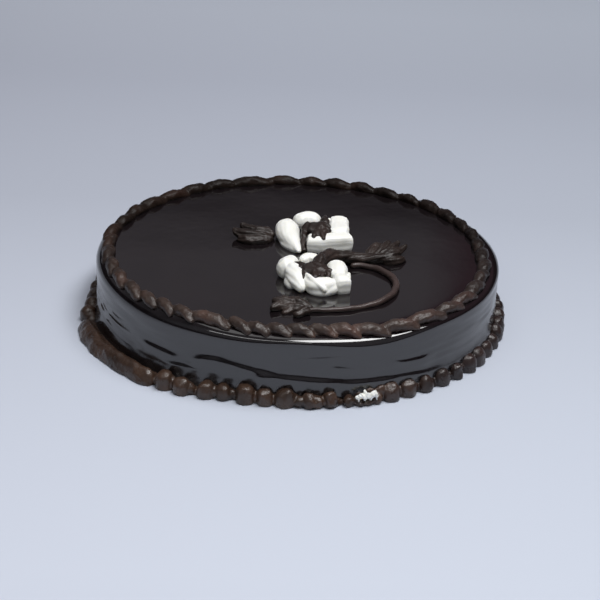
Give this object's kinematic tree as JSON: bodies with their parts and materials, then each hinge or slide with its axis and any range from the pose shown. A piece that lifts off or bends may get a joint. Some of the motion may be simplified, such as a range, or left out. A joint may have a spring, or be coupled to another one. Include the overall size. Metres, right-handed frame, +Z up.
{
  "type": "chocolate fudge cake",
  "caption": "Low round chocolate fudge cake with a mirror glaze, piped chocolate borders on its top edge and at its foot, and white cream flowers with piped chocolate sprays.",
  "frame": {"origin": "middle of the cake's flat underside, where it rests", "axes": "+Z up through the middle of the cake, -Y towards the side that faces the viewer, +X to the viewer's right"},
  "size_m": [0.2238, 0.2207, 0.0451],
  "materials": {
    "glaze": "dark chocolate glaze, poured, mirror gloss",
    "fudge": "piped chocolate fudge, soft gloss",
    "cream": "piped white cream, satin"
  },
  "bodies": {
    "root": {"cake": "glaze", "top_border": "fudge", "foot_border": "fudge", "cream_spot": "cream", "flower_back": "cream", "flower_front": "cream", "centre_back": "fudge", "centre_front": "fudge", "spray_right": "fudge", "stem": "fudge", "leaf_front": "fudge", "leaf_left": "fudge"}
  },
  "joints": []
}
